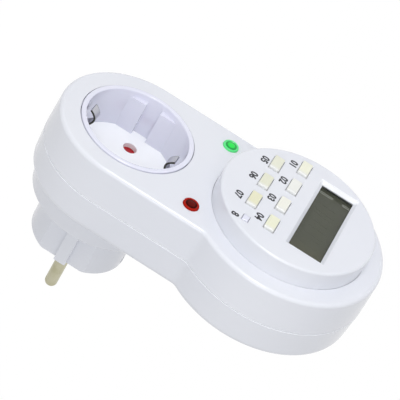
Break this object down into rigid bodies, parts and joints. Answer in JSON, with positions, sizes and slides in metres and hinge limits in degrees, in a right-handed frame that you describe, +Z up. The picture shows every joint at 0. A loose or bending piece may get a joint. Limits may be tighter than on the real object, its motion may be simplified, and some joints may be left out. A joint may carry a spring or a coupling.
{
  "type": "plug in timer switch",
  "caption": "Plug-in digital timer switch with an earthed pass-through socket, a keyed control head with display, and two indicator lamps.",
  "frame": {"origin": "centre of the plug's pin face, midway between the two pins", "axes": "+Z up the long axis from the socket end to the control head, the front face looks along -Y, the plug's pins point along +Y"},
  "size_m": [0.0758, 0.085, 0.1308],
  "materials": {
    "white_plastic": "glossy injection-moulded ABS",
    "well_plastic": "glossy moulded polycarbonate, faintly lilac",
    "carrier_plastic": "moulded polyamide",
    "shutter_plastic": "moulded red polyamide",
    "plated_brass": "nickel-plated turned brass",
    "brass": "stamped brass strip",
    "spring_steel": "nickel-plated spring strip",
    "screw_steel": "zinc-plated steel",
    "cream_plastic": "satin cream key caps",
    "silicone": "soft silicone",
    "clear_window": "clear moulded acrylic",
    "display_glass": "reflective liquid crystal cell",
    "connector_rubber": "striped conductive rubber",
    "circuit_board": "soldermasked glass-epoxy board",
    "black_plastic": "moulded epoxy",
    "relay_plastic": "moulded relay case",
    "film_plastic": "moulded capacitor case",
    "can_metal": "drawn metal can",
    "varistor_coat": "dipped epoxy coat",
    "fuse_plastic": "moulded fuse cap",
    "green_lens": "tinted translucent lens",
    "red_lens": "tinted translucent lens",
    "diode_epoxy": "clear epoxy",
    "lead_plastic": "flat insulated lead"
  },
  "bodies": {
    "housing": {"backup_cell": "can_metal", "board_link": "black_plastic", "contact_carrier": "carrier_plastic", "contact_line": "brass", "contact_neutral": "brass", "control_board": "circuit_board", "control_board_screws": "screw_steel", "control_cover": "white_plastic", "controller_chip": "black_plastic", "crystal": "can_metal", "diode_green": "diode_epoxy", "diode_red": "diode_epoxy", "display_cell": "display_glass", "display_connector_lower": "connector_rubber", "display_connector_upper": "connector_rubber", "display_window": "clear_window", "earth_post": "spring_steel", "film_capacitor": "film_plastic", "front_housing": "white_plastic", "fuse": "fuse_plastic", "housing_screws": "screw_steel", "key_mat": "silicone", "lamp_board": "circuit_board", "lamp_lead": "lead_plastic", "lens_green": "green_lens", "lens_red": "red_lens", "line_bar": "brass", "main_board": "circuit_board", "main_board_screws": "screw_steel", "neutral_bar": "brass", "neutral_tap": "brass", "plug_body": "white_plastic", "plug_earth_strap": "spring_steel", "plug_pin_line": "plated_brass", "plug_pin_neutral": "plated_brass", "rear_housing": "white_plastic", "relay": "relay_plastic", "shutter_spring": "spring_steel", "smoothing_capacitor": "can_metal", "socket_earth_clip": "spring_steel", "socket_floor": "well_plastic", "socket_insert": "well_plastic", "switched_bar": "brass", "varistor": "varistor_coat"},
    "shutter": {"shutter": "shutter_plastic"},
    "key_lower_1": {"key_lower_1": "cream_plastic"},
    "key_lower_2": {"key_lower_2": "cream_plastic"},
    "key_lower_3": {"key_lower_3": "cream_plastic"},
    "key_reset": {"key_reset": "well_plastic"},
    "key_upper_1": {"key_upper_1": "cream_plastic"},
    "key_upper_2": {"key_upper_2": "cream_plastic"},
    "key_upper_3": {"key_upper_3": "cream_plastic"},
    "key_upper_4": {"key_upper_4": "cream_plastic"}
  },
  "joints": [
    {"name": "shutter_turn", "type": "hinge", "parent": "housing", "child": "shutter", "pos_m": [0, -0.0373, 0], "axis": [0, 1, 0], "range_deg": [0, 40], "stiffness_Nm_per_rad": 0.004, "springref_deg": -20.05},
    {"name": "key_lower_1_press", "type": "slide", "parent": "housing", "child": "key_lower_1", "axis": [0, 1, 0], "range_m": [0, 0.0008], "stiffness_N_per_m": 400, "springref_m": -0.0002},
    {"name": "key_lower_2_press", "type": "slide", "parent": "housing", "child": "key_lower_2", "axis": [0, 1, 0], "range_m": [0, 0.0008], "stiffness_N_per_m": 400, "springref_m": -0.0002},
    {"name": "key_lower_3_press", "type": "slide", "parent": "housing", "child": "key_lower_3", "axis": [0, 1, 0], "range_m": [0, 0.0008], "stiffness_N_per_m": 400, "springref_m": -0.0002},
    {"name": "key_reset_press", "type": "slide", "parent": "housing", "child": "key_reset", "axis": [0, 1, 0], "range_m": [0, 0.0005], "stiffness_N_per_m": 400, "springref_m": -0.0002},
    {"name": "key_upper_1_press", "type": "slide", "parent": "housing", "child": "key_upper_1", "axis": [0, 1, 0], "range_m": [0, 0.0008], "stiffness_N_per_m": 400, "springref_m": -0.0002},
    {"name": "key_upper_2_press", "type": "slide", "parent": "housing", "child": "key_upper_2", "axis": [0, 1, 0], "range_m": [0, 0.0008], "stiffness_N_per_m": 400, "springref_m": -0.0002},
    {"name": "key_upper_3_press", "type": "slide", "parent": "housing", "child": "key_upper_3", "axis": [0, 1, 0], "range_m": [0, 0.0008], "stiffness_N_per_m": 400, "springref_m": -0.0002},
    {"name": "key_upper_4_press", "type": "slide", "parent": "housing", "child": "key_upper_4", "axis": [0, 1, 0], "range_m": [0, 0.0008], "stiffness_N_per_m": 400, "springref_m": -0.0002}
  ]
}
